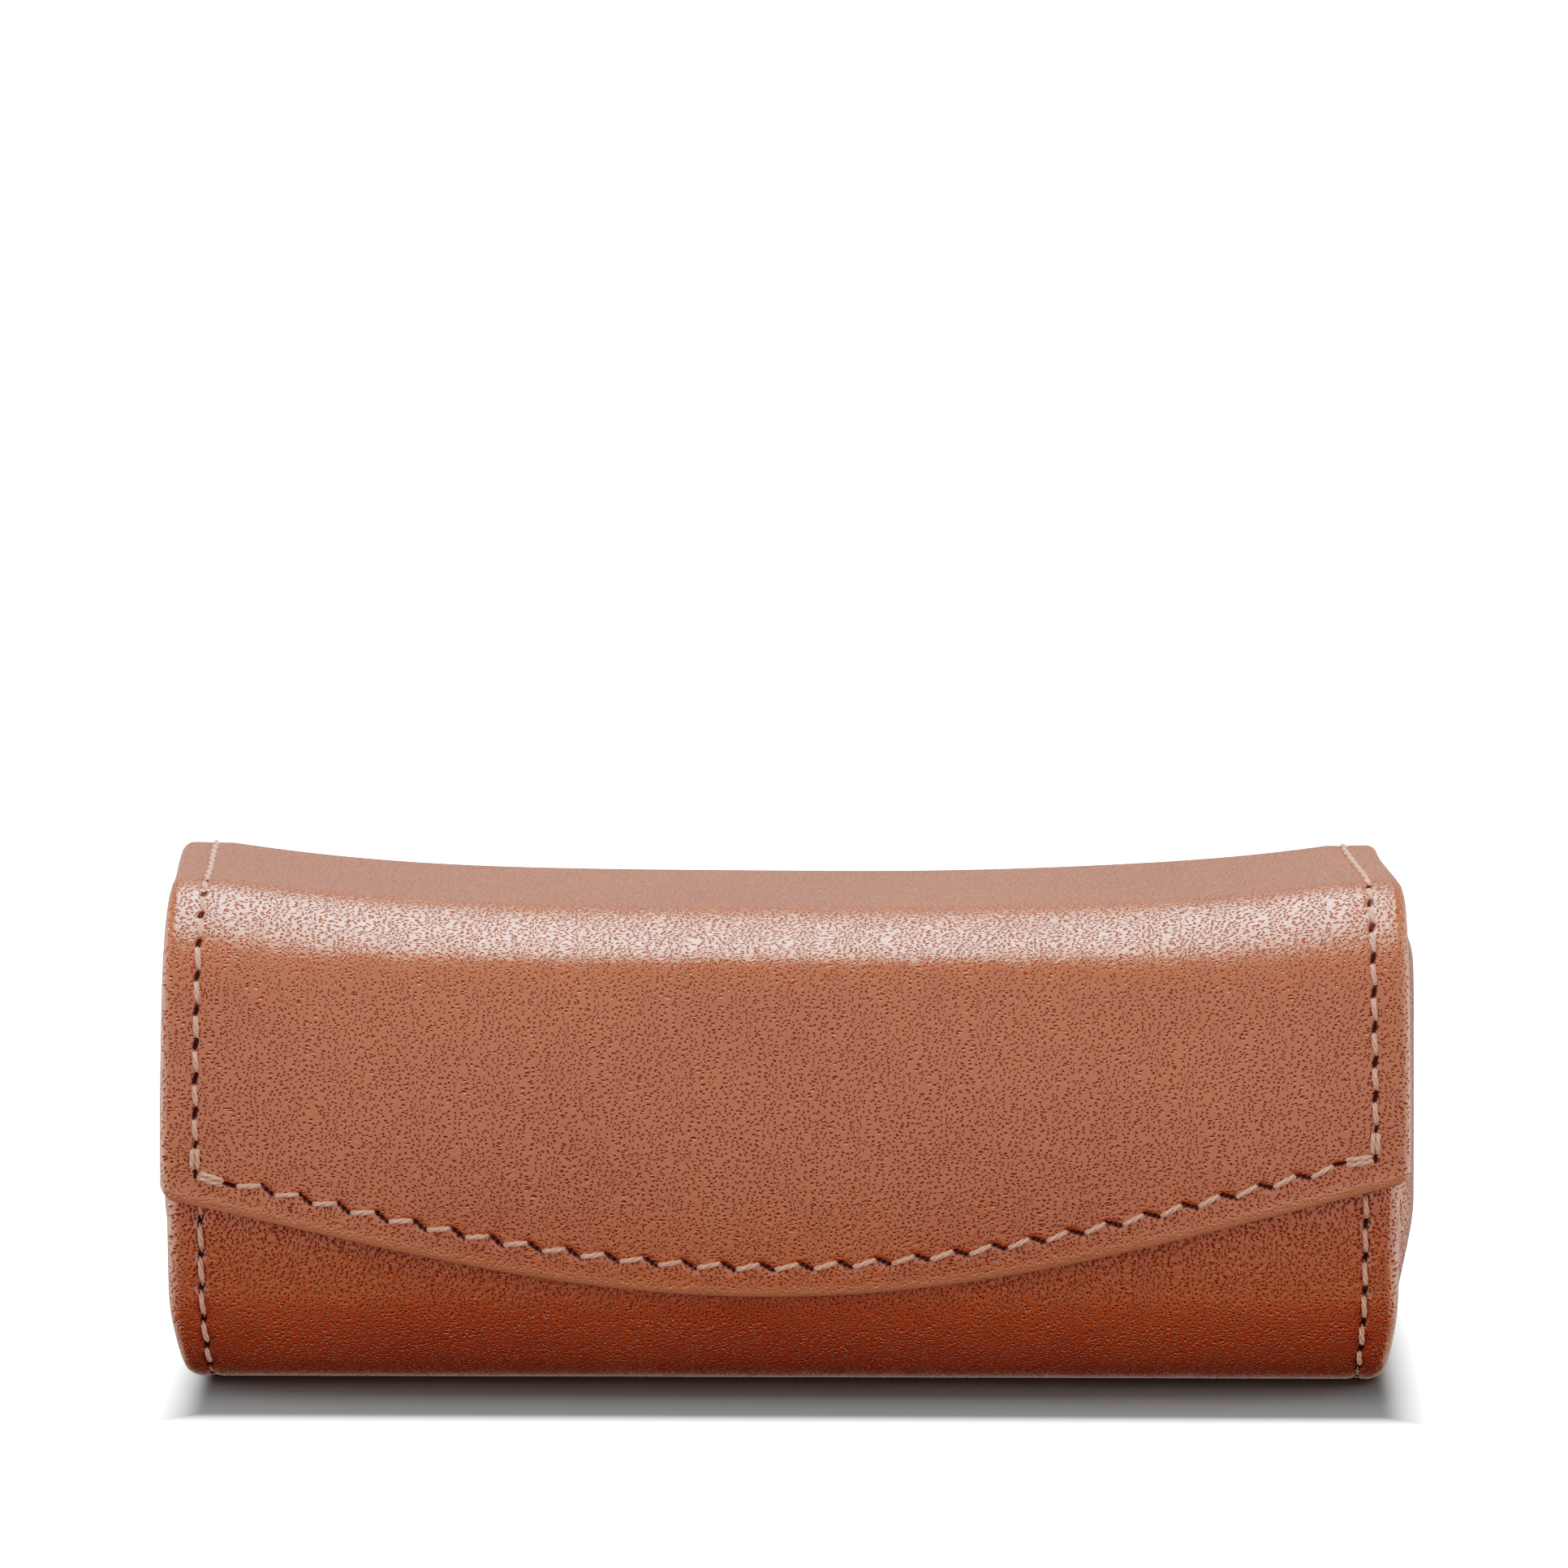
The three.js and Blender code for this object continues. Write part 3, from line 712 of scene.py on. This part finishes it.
def end_outline(inset, count):
    """Points of an end panel's outline inside the body's wall, evenly spaced."""
    clear = BODY_THICK + CUSHION_CLEARANCE + inset
    top = TOP_Z - COVER - inset
    front_radius = TOP_FRONT_RADIUS - COVER - BODY_THICK - inset
    back_radius = max(0.6 * MM, TOP_BACK_RADIUS - clear)
    outline = (
        Section((BACK_Y - clear, top - back_radius))
        .arc((BACK_Y - clear - back_radius, top - back_radius), back_radius, 0, math.pi / 2)
        .line(TOP_FRONT_CENTRE[0], top)
        .arc((TOP_FRONT_CENTRE[0], top - front_radius), front_radius, math.pi / 2, FRONT_TOP_TURN)
    )
    front = FRONT_RADIUS - COVER - clear
    outline.line(
        FRONT_CENTRE[0] + front * math.cos(FRONT_TOP_TURN), FRONT_CENTRE[1] + front * math.sin(FRONT_TOP_TURN)
    )
    outline.arc(FRONT_CENTRE, front, FRONT_TOP_TURN, FRONT_LOW_TURN)
    outline.arc(LOW_FRONT_CENTRE, LOW_FRONT_RADIUS - clear, FRONT_LOW_TURN, 1.5 * math.pi)
    outline.line(LOW_BACK_CENTRE[0], clear)
    outline.arc(LOW_BACK_CENTRE, LOW_BACK_RADIUS - clear, 1.5 * math.pi, 2 * math.pi)
    outline.line(BACK_Y - clear, top - back_radius)
    return outline.at(np.linspace(0, outline.length, count, endpoint=False))[0]


def build_end(side, material):
    """A padded leather end: it rises from a groove beside the wall and bulges to its crown."""
    outline = end_outline(0.05 * MM, CUSHION_SPOKES)
    middle = (outline.max(0) + outline.min(0)) / 2
    spokes = outline - middle
    lengths = np.linalg.norm(spokes, axis=1, keepdims=True)
    # The rings are closest together near the rim, where the leather curves most.
    depths = np.concatenate([np.linspace(0, 3, 10), np.linspace(3.6, 12, 14), np.linspace(13, 20, 6)]) * MM
    rim_x = BODY_HALF - CUSHION_RIM
    rise = CROWN_X[side] - rim_x
    vertices = []
    for depth in depths:
        # Steep at the rim and nearly flat at the crown.
        near = min(1.0, depth / CUSHION_BULGE)
        height = rim_x + rise * (1 - (1 - near) ** 2.4) ** 0.62
        for y, z in middle + spokes * np.clip(1 - depth / (lengths * 0.9), 0.02, 1):
            wave = near * math.sin(y / (7 * MM) + side) * math.sin(z / (9 * MM) + 2)
            taper = CUSHION_LOW_TAPER * near * (1 - float(smoothstep(z, 5 * MM, 24 * MM)))
            vertices.append((side * (height + CUSHION_UNEVENNESS * (wave - 1) - taper), y, z))
    faces = ring_faces(len(depths), CUSHION_SPOKES, flip=side == LEFT)
    obj = new_object(SIDE_WORDS[side] + "_end_cushion", vertices, faces, material)
    set_vector(obj, "flat", [(y + side * CUSHION_GRAIN, z, x) for x, y, z in vertices])
    # Painted shade in the groove beside the wall, carried by the hole attribute.
    groove = 0.75 * np.exp(-((depths / CUSHION_GROOVE) ** 2))
    set_float(obj, "hole", np.repeat(groove, CUSHION_SPOKES))
    set_float(obj, "edge", np.zeros(len(vertices)))
    return obj


# ---- Linings -----------------------------------------------------------------


def lining_sheet(name, section, half, start, end, depth, material, end_along=None):
    """A thin sheet with rounded edges laid at a depth below the outside.

    It ends at a length along the section, or at end past a line that bends with end_along."""
    offsets = stations(0, half, coarse=2 * MM, fine_spots=(0,), fine=0.2 * MM, reach=1 * MM)
    columns = np.concatenate([-half + offsets, (half - offsets)[::-1][1:]])
    rows = stations(0, 1, coarse=0.01, fine_spots=(0, 1), fine=0.0015, reach=0.008)
    share, across = np.meshgrid(rows, columns, indexing="ij")
    last = np.full(across.shape, end) if end_along is None else end_along(across) + end
    along = start + share * (last - start)
    distance = np.minimum(half - np.abs(across), np.minimum(along - start, last - along))
    from_full = 1 - np.clip(distance / LINING_EDGE, 0, 1)
    lift = 0.9 * LINING_THICK * np.sqrt(1 - from_full**2)
    surface = wrap(section, across, along, depth + lift - LINING_SUNK)
    obj = new_object(name, surface.reshape(-1, 3), grid_faces(*across.shape), material)
    set_vector(obj, "flat", np.stack([across, along, lift], -1).reshape(-1, 3))
    return obj


def end_lining_plate(side, material):
    """The suede on the inside of a padded end: its edge, and rings that draw in to its middle."""
    outline = end_outline(CUSHION_CLEARANCE, LINING_SPOKES)
    middle = outline.mean(0)
    vertices = [(side * (END_INNER_X + 3 * MM), y, z) for y, z in outline]
    shares = (1, 0.96, 0.7, 0.35)
    for share in shares:
        vertices += [(side * END_INNER_X, y, z) for y, z in middle + (outline - middle) * share]
    faces = ring_faces(1 + len(shares), LINING_SPOKES, flip=side == RIGHT)
    obj = new_object(SIDE_WORDS[side] + "_end_suede", vertices, faces, material)
    set_vector(obj, "flat", [(y, z, x) for x, y, z in vertices])
    return obj


# ---- Materials ---------------------------------------------------------------


class Nodes:
    """Short ways to add and join shader nodes."""

    def __init__(self, name):
        self.material = bpy.data.materials.new(name)
        self.material.use_nodes = True
        self.tree = self.material.node_tree
        self.surface = self.tree.nodes["Principled BSDF"]

    def add(self, kind, inputs=None, **settings):
        node = self.tree.nodes.new(kind)
        for key, value in settings.items():
            setattr(node, key, value)
        for key, value in (inputs or {}).items():
            self.put(node.inputs[key], value)
        return node

    def put(self, socket, value):
        if isinstance(value, bpy.types.NodeSocket):
            self.tree.links.new(value, socket)
        else:
            socket.default_value = value

    def math(self, operation, a, b=0.0, c=0.0):
        node = self.add("ShaderNodeMath", operation=operation)
        for socket, value in zip(node.inputs, (a, b, c)):
            self.put(socket, value)
        return node.outputs[0]

    def mix(self, factor, a, b):
        node = self.add("ShaderNodeMix", data_type="RGBA")
        self.put(node.inputs["Factor"], factor)
        # Several sockets share the names A, B and Result; these are the colour ones.
        self.put(node.inputs[6], a)
        self.put(node.inputs[7], b)
        return node.outputs[2]

    def ramp(self, value, low, high, a=0.0, b=1.0):
        node = self.add("ShaderNodeMapRange", interpolation_type="SMOOTHSTEP")
        for socket, given in zip(node.inputs, (value, low, high, a, b)):
            self.put(socket, given)
        return node.outputs["Result"]

    def flat(self):
        """The flat layout, in millimetres."""
        source = self.add("ShaderNodeAttribute", attribute_name="flat")
        return self.vector("MULTIPLY", source.outputs["Vector"], (1 / MM, 1 / MM, 1 / MM))

    def attribute(self, name):
        return self.add("ShaderNodeAttribute", attribute_name=name).outputs["Fac"]

    def vector(self, operation, a, b):
        return self.add("ShaderNodeVectorMath", {0: a, 1: b}, operation=operation).outputs[0]

    def noise(self, vector, scale, detail=3.0, roughness=0.55):
        inputs = {"Vector": vector, "Scale": scale, "Detail": detail, "Roughness": roughness}
        return self.add("ShaderNodeTexNoise", inputs).outputs["Fac"]

    def bump(self, height, strength, distance):
        inputs = {"Height": height, "Strength": strength, "Distance": distance}
        return self.add("ShaderNodeBump", inputs).outputs["Normal"]

    def set(self, **values):
        for key, value in values.items():
            self.put(self.surface.inputs[key.replace("_", " ")], value)


class WorldNodes(Nodes):
    """The same short ways for the studio's surroundings."""

    def __init__(self, name):
        self.world = bpy.data.worlds.new(name)
        self.world.use_nodes = True
        self.tree = self.world.node_tree
        self.surface = self.tree.nodes["Background"]


def linear(red, green, blue):
    """The linear colour that shader nodes take, from display values of 0 to 255."""

    def channel(value):
        value /= 255
        return value / 12.92 if value <= 0.04045 else ((value + 0.055) / 1.055) ** 2.4

    return (channel(red), channel(green), channel(blue), 1)


PORE_ACROSS = 0.72  # mm between the wavering chains of pores
PORE_ALONG = 0.43  # mm between pores along a chain
LEATHER_BUMP = 0.21 * MM


def leather_material():
    """Tan full-grain leather: pin-prick pores in wavering chains with painted shade in their pits, a soft
    gloss, a paler rubbed edge with a painted highlight, and painted shade in the sewing holes.
    """
    n = Nodes("tan_leather")
    flat = n.flat()
    # Pores: the cells of a lattice that leans and wavers, each with a pore of its own size at its middle.
    waver = n.add("ShaderNodeTexNoise", {"Vector": flat, "Scale": 0.22, "Detail": 2.0}).outputs["Color"]
    shifted = n.vector("ADD", n.vector("MULTIPLY", waver, (3.4, 2.4, 0)), flat)
    leaning = n.add("ShaderNodeMapping", {"Vector": shifted, "Rotation": (0, 0, -0.25)}).outputs[0]
    lattice = n.vector("MULTIPLY", leaning, (1 / PORE_ACROSS, 1 / PORE_ALONG, 0))
    pores = n.add(
        "ShaderNodeTexVoronoi", {"Vector": lattice, "Scale": 1.0, "Randomness": 0.85}, voronoi_dimensions="2D"
    )
    away = n.vector("SUBTRACT", lattice, pores.outputs["Position"])
    away = n.vector("MULTIPLY", away, (PORE_ACROSS, PORE_ALONG, 0))
    distance = n.add("ShaderNodeVectorMath", {0: away}, operation="LENGTH").outputs["Value"]
    chance = n.add("ShaderNodeSeparateColor", {"Color": pores.outputs["Color"]}).outputs[0]
    size = n.ramp(chance, 0.0, 0.8, 0.04, 0.088)
    # The paler, highlighted edges and the sewing holes have no pores.
    edge = n.attribute("edge")
    hole = n.attribute("hole")
    open_part = n.math("SUBTRACT", 1.0, n.math("MINIMUM", n.math("ADD", edge, hole), 1.0))
    inside = n.math("SUBTRACT", size, distance)
    pore = n.math("MULTIPLY", n.ramp(inside, -0.045, 0.045), open_part)
    pit = n.math("MULTIPLY", n.ramp(inside, -0.13, 0.05), open_part)
    # Colour: broad and fine patches, then the paler edges with a painted highlight, the redder pores with
    # painted shade, and painted shade in the holes.
    patches = n.noise(flat, 0.03, 3)
    fine = n.noise(flat, 0.9, 4, 0.65)
    base = n.mix(n.ramp(patches, 0.3, 0.7), linear(162, 84, 44), linear(154, 77, 39))
    base = n.mix(n.ramp(fine, 0.35, 0.75, 0, 0.3), base, linear(166, 96, 56))
    # The edge mask paints paler leather with a painted highlight along free edges, and a thin painted
    # highlight along the sides.
    base = n.mix(n.math("MULTIPLY", edge, 0.6), base, linear(226, 170, 146))
    # Pores: a redder colour of their own, darkened further with painted shade in their pits.
    base = n.mix(n.math("MULTIPLY", pore, 0.8), base, linear(146, 48, 22))
    # Painted shade in the sewing holes and the cushions' rim grooves: a darker red round them and a
    # near-black middle.
    base = n.mix(n.ramp(hole, 0.12, 0.4, 0, 0.5), base, linear(118, 34, 16))
    base = n.mix(n.ramp(hole, 0.3, 0.6, 0, 0.9), base, linear(56, 16, 9))
    # Surface: faint creases between the pores, and a gloss that the pores and holes lack.
    creases = n.noise(n.vector("MULTIPLY", leaning, (1.3, 0.8, 0)), 1.6, 3, 0.6)
    crease_height = n.math("MULTIPLY", n.math("MULTIPLY", creases, 0.6), open_part)
    normal = n.bump(n.math("SUBTRACT", crease_height, pit), 1.0, LEATHER_BUMP)
    rough = n.math("MULTIPLY_ADD", fine, 0.14, n.math("MULTIPLY_ADD", pore, 0.2, 0.23))
    n.set(Base_Color=base, Roughness=rough, Normal=normal)
    n.set(Coat_Weight=0.25, Coat_Roughness=0.12, Coat_Normal=normal)
    dull = n.math("MAXIMUM", n.math("MULTIPLY", pore, 0.4), n.ramp(hole, 0.4, 0.8))
    n.set(Specular_IOR_Level=n.math("MULTIPLY_ADD", dull, -1.0, 1.0))
    return n.material


def thread_material():
    """Waxed linen thread: pale fibres along it, and painted shade in the grooves between its plies."""
    n = Nodes("waxed_thread")
    flat = n.flat()
    fibres = n.noise(n.vector("MULTIPLY", flat, (0.8, 6, 1)), 2.2, 5, 0.7)
    base = n.mix(n.ramp(fibres, 0.3, 0.7), linear(186, 120, 94), linear(232, 188, 168))
    # Painted shade in the grooves between the plies.
    base = n.mix(n.ramp(n.attribute("groove"), 0.45, 1.0, 0, 0.65), base, linear(120, 62, 40))
    n.set(Base_Color=base, Roughness=0.55, Normal=n.bump(fibres, 1.0, 0.00016))
    n.set(Sheen_Weight=0.3, Specular_IOR_Level=0.8)
    return n.material


def suede_material():
    """Brown suede: a fine nap and faint clouds."""
    n = Nodes("suede_lining")
    flat = n.flat()
    nap = n.noise(flat, 2.2, 6, 0.75)
    clouds = n.noise(flat, 0.05, 3)
    base = n.mix(n.ramp(clouds, 0.35, 0.65), linear(126, 88, 62), linear(150, 108, 78))
    base = n.mix(n.ramp(nap, 0.35, 0.7, 0, 0.5), base, linear(96, 64, 44))
    n.set(Base_Color=base, Roughness=0.95, Normal=n.bump(nap, 0.6, 0.00025), Sheen_Weight=0.5)
    return n.material


def inner_material(name, dark, light, scale, roughness, metallic=0.0):
    """For the boards, pads and discs that stay hidden inside."""
    n = Nodes(name)
    place = n.add("ShaderNodeTexCoord").outputs["Object"]
    speckle = n.noise(place, scale, 5, 0.7)
    n.set(Base_Color=n.mix(n.ramp(speckle, 0.35, 0.65), dark, light), Roughness=roughness)
    n.set(Metallic=metallic, Normal=n.bump(speckle, 0.3, 0.0001))
    return n.material


# ---- Assembly ----------------------------------------------------------------

leather = leather_material()
thread = thread_material()
suede = suede_material()

outside = build_outside(leather)
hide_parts("flap_leather", "body_leather")
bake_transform(outside)

front = build_front(leather)
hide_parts("body_leather")
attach(front, "case")

outside_stitches = bow_stitches + outside_sides[LEFT] + outside_sides[RIGHT]
outside_threads = build_threads("outside_stitches", OUTSIDE, outside_stitches, thread)
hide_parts("flap_seam_thread", "left_seam_thread", "right_seam_thread")
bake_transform(outside_threads)

corner_threads = build_threads("corner_stitches", OUTSIDE, corner_stitches, thread, lift=0.12 * MM)
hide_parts("flap_seam_thread")
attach(corner_threads, "flap")

front_threads = build_threads("front_stitches", BODY_FRONT, front_sides[LEFT] + front_sides[RIGHT], thread)
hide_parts("left_seam_thread", "right_seam_thread")
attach(front_threads, "case")

for side, word in SIDE_WORDS.items():
    cushion = build_end(side, leather)
    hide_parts(f"{word}_end_leather", f"{word}_end_pad")
    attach(cushion, "case")
    plate = end_lining_plate(side, suede)
    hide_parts(f"{word}_end_lining")
    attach(plate, "case")

flap_suede = lining_sheet(
    "flap_suede",
    OUTSIDE,
    half=FLAP_HALF_TOP - 5 * MM,
    start=HINGE_ALONG + 2 * MM,
    end=-5.5 * MM,
    depth=FLAP_THICK,
    material=suede,
    end_along=flap_edge_along,
)
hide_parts("flap_lining")
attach(flap_suede, "flap")

body_lining_half = END_INNER_X + 2 * MM
back_suede = lining_sheet("back_suede", OUTSIDE, body_lining_half, 0, HINGE_ALONG - 1 * MM, BODY_THICK, suede)
front_end = BODY_FRONT.length + 1 * MM
front_suede = lining_sheet("front_suede", BODY_FRONT, body_lining_half, 5 * MM, front_end, BODY_THICK, suede)
for lining in (back_suede, front_suede):
    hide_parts("body_lining")
    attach(lining, "case")

board = inner_material("fibre_board", linear(92, 70, 52), linear(122, 96, 74), 900, 0.9)
steel = inner_material("keeper_steel", linear(150, 153, 156), linear(190, 193, 196), 400, 0.35, 1.0)
magnet = inner_material("magnet_metal", linear(70, 73, 78), linear(95, 98, 104), 400, 0.4, 1.0)
for node, obj in frame["nodes"].items():
    finish = steel if "keeper" in node else magnet if "magnet" in node else board
    if obj.material_slots and not obj.hide_render:
        obj.material_slots[0].material = finish

# ---- Floor, light and camera -------------------------------------------------

# Tones of the scene and how bright each is shown.
TONE_CURVE = (
    (0.02, 0.006),
    (0.05, 0.018),
    (0.1, 0.063),
    (0.2, 0.175),
    (0.35, 0.34),
    (0.5, 0.465),
    (0.7, 0.59),
    (1.0, 0.72),
    (1.5, 0.87),
)
WHITE_TONE = 2.0  # shown as white
STUDIO_RADIANCE = 1.17


def set_contrast():
    """A photographic curve: a toe that deepens the darkest tones and a long shoulder for the highlights."""
    view = bpy.context.scene.view_settings
    view.view_transform = "Standard"
    view.use_curve_mapping = True
    mapping = view.curve_mapping
    mapping.white_level = (WHITE_TONE, WHITE_TONE, WHITE_TONE)
    for tone, shown in TONE_CURVE:
        mapping.curves[3].points.new(tone / WHITE_TONE, shown)
    mapping.update()


def add_floor():
    """The table: dark grey, with a painted glow a little way off from the case that shows it white there and
    leaves a painted shadow round the case, as in a white studio.
    """
    n = Nodes("pale_floor")
    place = n.add("ShaderNodeSeparateXYZ", {0: n.add("ShaderNodeNewGeometry").outputs["Position"]})
    # Painted light: the floor glows white beyond the case's ends and sides, which leaves a painted shadow
    # round it.
    from_middle = n.math("ABSOLUTE", n.math("SUBTRACT", place.outputs["X"], 1 * MM))
    beyond_ends = n.ramp(from_middle, end_high.x - 7 * MM, end_high.x + 5 * MM)
    beyond_sides = n.ramp(n.math("ABSOLUTE", place.outputs["Y"]), BACK_Y + 7 * MM, BACK_Y + 20 * MM)
    painted_floor_light = n.math("MULTIPLY", n.math("MAXIMUM", beyond_ends, beyond_sides), 2 * WHITE_TONE)
    n.set(Base_Color=(0.2, 0.215, 0.22, 1), Roughness=0.7)
    n.set(Emission_Color=(1, 1, 1, 1), Emission_Strength=painted_floor_light)
    reach = 12.0
    corners = [(-reach, -reach, 0), (reach, -reach, 0), (reach, reach, 0), (-reach, reach, 0)]
    floor = new_object("floor", corners, [(0, 1, 2, 3)], n.material)
    floor.visible_glossy = False
    floor.visible_diffuse = False
    floor.visible_shadow = False


def add_softbox(name, elevation, turn, distance, width, height, radiance):
    """A rectangular light aimed at the case. Elevation runs from the front horizon over to the back."""
    data = bpy.data.lights.new(name, "AREA")
    data.shape = "RECTANGLE"
    data.size = width
    data.size_y = height
    data.energy = radiance * math.pi * width * height
    light = bpy.data.objects.new(name, data)
    bpy.context.scene.collection.objects.link(light)
    light.rotation_euler = (math.pi / 2 - elevation, turn, 0)
    light.location = Vector((0, 0, TOP_Z / 2)) + light.rotation_euler.to_matrix() @ Vector((0, 0, distance))


def add_studio():
    """Surroundings: a pale room, brightest at its sides and in front, dark underneath and dimmer overhead."""
    n = WorldNodes("studio")
    direction = n.add("ShaderNodeSeparateXYZ", {0: n.add("ShaderNodeTexCoord").outputs["Generated"]})
    above_ground = n.ramp(direction.outputs["Z"], -0.57, -0.42)
    overhead = n.ramp(direction.outputs["Z"], 0.3, 0.8, 1, 0.75)
    front = n.ramp(direction.outputs["Y"], -0.2, 0.6, 1, 0.45)
    sides = n.ramp(n.math("ABSOLUTE", direction.outputs["X"]), 0.4, 0.9, 0, 1.7)
    strength = n.math("MULTIPLY", n.math("MULTIPLY", above_ground, overhead), n.math("MAXIMUM", front, sides))
    strength = n.math("MULTIPLY", strength, STUDIO_RADIANCE)
    n.set(Color=(1, 1, 1, 1), Strength=strength)
    bpy.context.scene.world = n.world


set_contrast()
add_floor()
add_softbox(
    "overhead",
    elevation=math.radians(101),
    turn=math.radians(-4),
    distance=1.0,
    width=0.45,
    height=1.25,
    radiance=7.5,
)
add_studio()

# The camera stands a metre and a half off and looks over the case, which sits low in the picture.
CAMERA_DISTANCE = 1.5 - FRONT_Y
CASE_SEEN_FROM = math.radians(8.4)
CAMERA_PITCH = math.radians(6.82)
CAMERA_TURN = math.radians(1)
CAMERA_SHIFT = -0.6 * MM
camera_data = bpy.data.cameras.new("camera")
camera_data.sensor_width = 36
camera_data.lens = 277
camera_data.clip_end = 100
camera = bpy.data.objects.new("camera", camera_data)
bpy.context.scene.collection.objects.link(camera)
camera.rotation_mode = "XYZ"
camera.rotation_euler = (math.pi / 2 - CAMERA_PITCH, 0, CAMERA_TURN)
camera.location = (
    CAMERA_DISTANCE * math.sin(CAMERA_TURN) * math.cos(CASE_SEEN_FROM) + CAMERA_SHIFT,
    -CAMERA_DISTANCE * math.cos(CAMERA_TURN) * math.cos(CASE_SEEN_FROM),
    CAMERA_DISTANCE * math.sin(CASE_SEEN_FROM) + TOP_Z / 2,
)
bpy.context.scene.camera = camera
